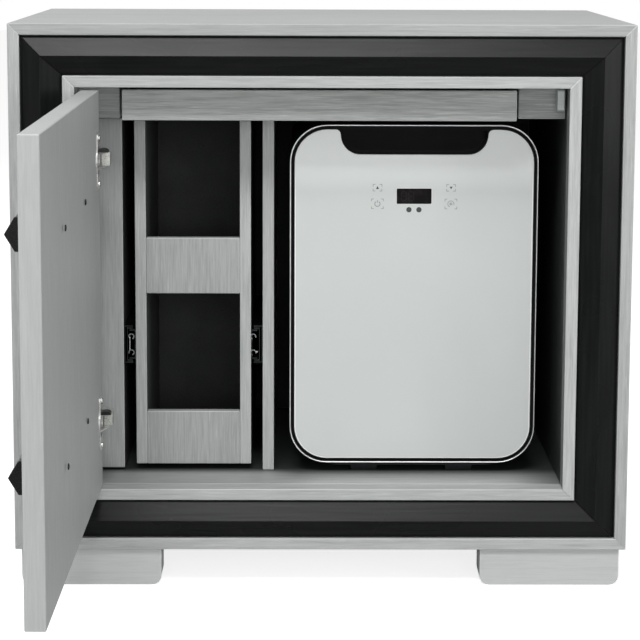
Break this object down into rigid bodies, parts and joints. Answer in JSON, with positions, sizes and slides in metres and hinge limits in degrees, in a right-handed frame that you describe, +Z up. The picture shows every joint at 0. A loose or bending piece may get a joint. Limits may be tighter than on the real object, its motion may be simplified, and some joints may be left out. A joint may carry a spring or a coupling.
{
  "type": "nightstand with cooler",
  "caption": "Square bedside cabinet with a black ridge moulding and a swung-open door, holding a pull-out bottle rack, a shallow tray and a small glass-fronted cooler.",
  "frame": {"origin": "on the floor, below the middle of the piece's overall box with its door open", "axes": "+Z up, the front faces -Y, +X to the right as seen from the front"},
  "size_m": [0.7, 0.9864, 0.643],
  "materials": {
    "grey_wood": "grey brushed wood grain, satin",
    "moulding_black": "black lacquer, gloss",
    "handle_black": "black, satin",
    "dark_board": "black faced board, matt",
    "hinge_steel": "nickel plated",
    "slide_steel": "zinc plated",
    "trim_bright": "bright",
    "panel_glass": "pale grey back-painted glass",
    "display_black": "dark display window",
    "cooler_black_gloss": "gloss",
    "cooler_black_matt": "fine texture",
    "white_plastic": "satin",
    "seal_rubber": "matt"
  },
  "bodies": {
    "cabinet": {"top_panel": "grey_wood", "bottom_panel": "grey_wood", "left_panel": "grey_wood", "right_panel": "grey_wood", "moulding_top": "moulding_black", "moulding_bottom": "moulding_black", "moulding_left": "moulding_black", "moulding_right": "moulding_black", "face_frame_top": "grey_wood", "face_frame_bottom": "grey_wood", "face_frame_left": "grey_wood", "face_frame_right": "grey_wood", "bay_floor": "grey_wood", "bay_ceiling": "grey_wood", "bay_left_wall": "grey_wood", "bay_right_wall": "grey_wood", "back_panel": "dark_board", "foot_front_left": "grey_wood", "foot_front_right": "grey_wood", "foot_rear_left": "grey_wood", "foot_rear_right": "grey_wood", "divider": "grey_wood", "rack_filler": "grey_wood", "tray_rail_left": "grey_wood", "tray_rail_right": "grey_wood", "catch_block": "white_plastic", "hinge_arm_upper": "hinge_steel", "hinge_arm_lower": "hinge_steel", "rack_slide_outer_left": "slide_steel", "rack_slide_outer_right": "slide_steel"},
    "door": {"door_panel": "grey_wood", "handle_upper": "handle_black", "handle_lower": "handle_black", "hinge_cup_upper": "hinge_steel", "hinge_cup_lower": "hinge_steel"},
    "rack": {"rack_left_side": "grey_wood", "rack_right_side": "grey_wood", "rack_back": "dark_board", "rack_lower_front": "grey_wood", "rack_lower_floor": "dark_board", "rack_upper_front": "grey_wood", "rack_upper_floor": "dark_board", "rack_slide_inner_left": "slide_steel", "rack_slide_inner_right": "slide_steel"},
    "rack_slide_middle": {"rack_slide_middle_left": "slide_steel", "rack_slide_middle_right": "slide_steel"},
    "tray": {"tray_front": "grey_wood", "tray_box": "grey_wood"},
    "cooler": {"cooler_housing": "cooler_black_matt", "cooler_liner": "white_plastic", "cooler_shelf": "white_plastic", "cooler_rear_cover": "cooler_black_matt", "cooler_inlet": "cooler_black_matt", "cooler_base": "cooler_black_matt"},
    "cooler_door": {"cooler_door": "cooler_black_gloss", "cooler_trim_ring": "trim_bright", "cooler_glass": "panel_glass", "cooler_display": "display_black", "cooler_seal": "seal_rubber"},
    "cooler_fan": {"cooler_fan": "cooler_black_matt"}
  },
  "joints": [
    {"name": "door_hinge", "type": "hinge", "parent": "cabinet", "child": "door", "pos_m": [-0.2673, 0.0479, 0], "axis": [0, 0, -1], "range_deg": [-90.4, 14.6]},
    {"name": "rack_slide", "type": "slide", "parent": "cabinet", "child": "rack", "axis": [0, -1, 0], "range_m": [0, 0.2]},
    {"name": "rack_slide_middle_travel", "type": "slide", "parent": "cabinet", "child": "rack_slide_middle", "axis": [0, -1, 0], "range_m": [0, 0.1]},
    {"name": "tray_slide", "type": "slide", "parent": "cabinet", "child": "tray", "axis": [0, -1, 0], "range_m": [0, 0.17]},
    {"name": "cooler_slide_out", "type": "slide", "parent": "cabinet", "child": "cooler", "axis": [0, -1, 0], "range_m": [0, 0.2]},
    {"name": "cooler_door_hinge", "type": "hinge", "parent": "cooler", "child": "cooler_door", "pos_m": [0.238, 0.1432, 0.1139], "axis": [0, 0, 1], "range_deg": [0, 95]},
    {"name": "cooler_fan_spin", "type": "hinge", "parent": "cooler", "child": "cooler_fan", "pos_m": [0.1075, 0.4223, 0.3547], "axis": [0, 1, 0], "continuous": true}
  ],
  "couplings": [
    {"joint": "rack_slide_middle_travel", "follows": "rack_slide", "ratio": 0.5}
  ]
}
